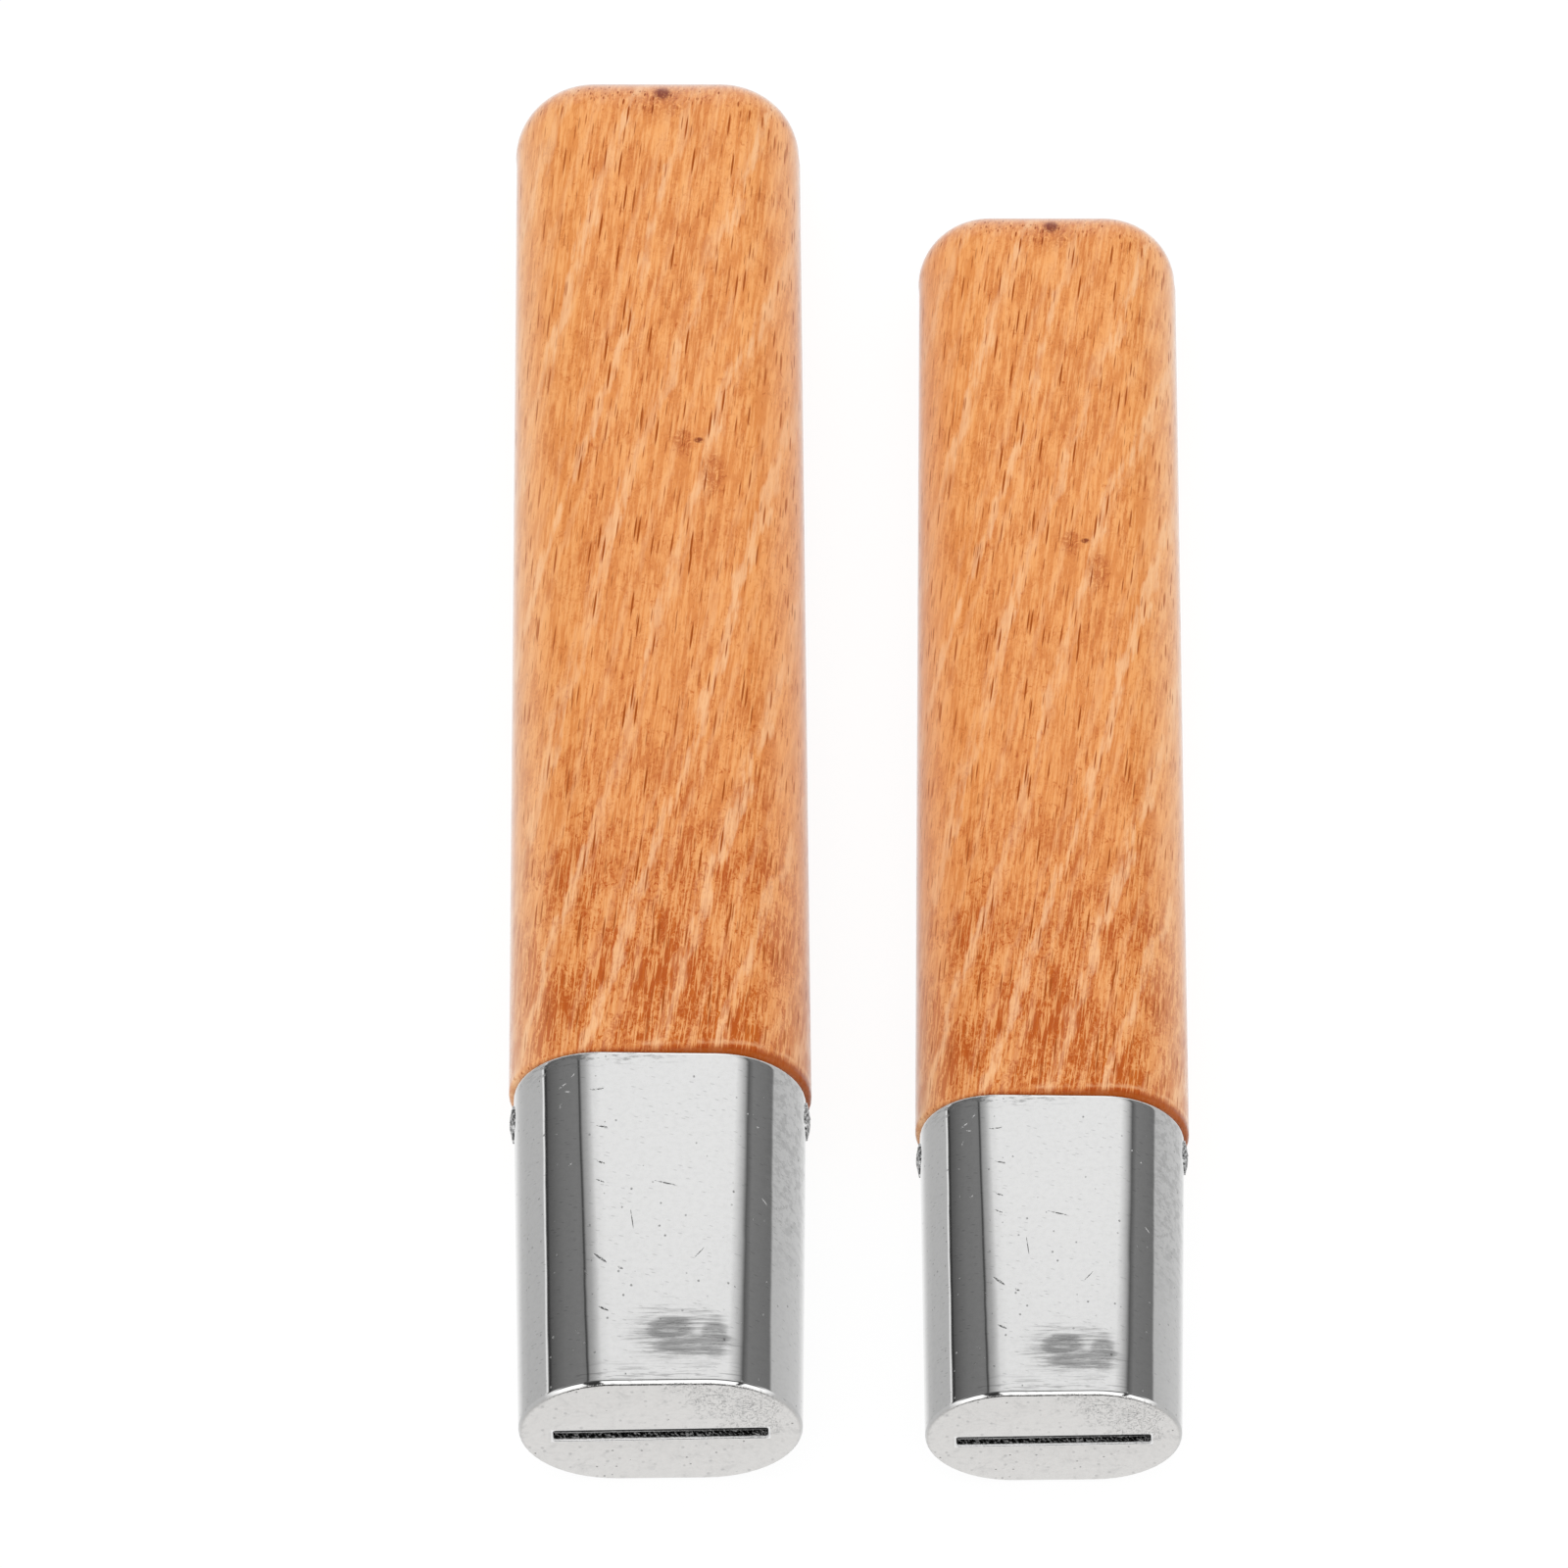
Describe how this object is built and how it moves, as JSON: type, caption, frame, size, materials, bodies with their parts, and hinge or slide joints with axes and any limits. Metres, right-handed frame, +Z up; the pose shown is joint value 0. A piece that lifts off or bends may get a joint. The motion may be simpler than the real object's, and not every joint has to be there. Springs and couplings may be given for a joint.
{
  "type": "knife handle pair",
  "caption": "Flat oval wooden knife handles, large and small, each in a bright metal ferrule whose closed front has a slot for a flat tang.",
  "frame": {"origin": "middle of the pair's footprint, on the surface that the handles lie on", "axes": "+Z up; +Y from the slotted front plates to the butt ends of the grips; +X from the large handle to the small one"},
  "size_m": [0.064, 0.1486, 0.0183],
  "materials": {
    "wood": "varnished beech, satin to glossy",
    "ferrule_metal": "polished plate with fine scratches",
    "nail_metal": "hammered nail heads"
  },
  "bodies": {
    "large_handle": {"large_grip": "wood", "large_ferrule": "ferrule_metal", "large_left_nail": "nail_metal", "large_right_nail": "nail_metal"},
    "small_handle": {"small_grip": "wood", "small_ferrule": "ferrule_metal", "small_left_nail": "nail_metal", "small_right_nail": "nail_metal"}
  },
  "joints": [
    {"name": "small_handle_lift", "type": "slide", "parent": "large_handle", "child": "small_handle", "axis": [0, 0, 1], "range_m": [0, 0.15]}
  ]
}
